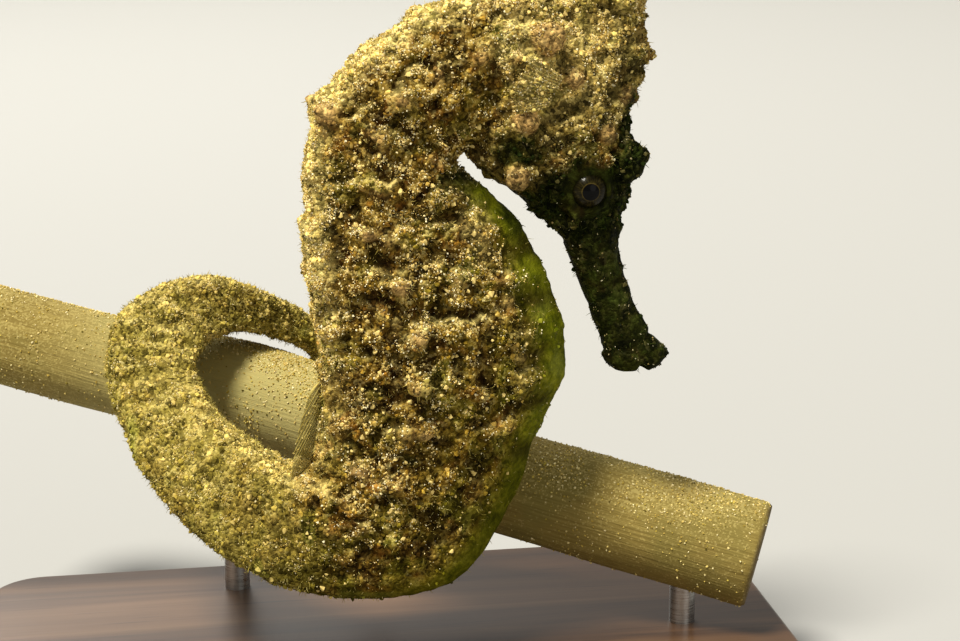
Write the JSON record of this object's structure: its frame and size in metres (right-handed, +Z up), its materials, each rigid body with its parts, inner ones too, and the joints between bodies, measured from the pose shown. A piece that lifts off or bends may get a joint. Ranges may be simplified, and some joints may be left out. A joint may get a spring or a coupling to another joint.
{
  "type": "seahorse display model",
  "caption": "Life-size seahorse with a bowed head and ringed trunk, its tail coiled round a short length of stem on a small flat stand.",
  "frame": {"origin": "middle of the stand's underside, which is the lowest point", "axes": "+Z up; +X the way the animal faces; +Y the animal's left, towards the left end of the stem; -Y the side that is seen"},
  "size_m": [0.0944, 0.0633, 0.085],
  "materials": {
    "skin": "rough, wet, dusted with pale sand",
    "eye": "clear and glossy",
    "fin": "thin, slightly translucent",
    "stem": "weathered, fine lengthwise grain",
    "base": "satin varnished walnut",
    "rod": "brushed"
  },
  "bodies": {
    "root": {"snout": "skin", "head": "skin", "coronet": "skin", "neck": "skin", "chest": "skin", "belly": "skin", "brood_pouch": "skin", "tail_root": "skin", "tail_1": "skin", "tail_2": "skin", "tail_3": "skin", "tail_4": "skin", "tail_5": "skin", "tail_6": "skin", "tail_7": "skin", "tail_8": "skin", "eye_left": "eye", "eye_right": "eye", "pectoral_fin_left": "fin", "pectoral_fin_right": "fin", "dorsal_fin": "fin", "anal_fin": "fin", "perch_stem": "stem", "stand_base": "base", "stand_rod_left": "rod", "stand_rod_right": "rod"}
  },
  "joints": []
}
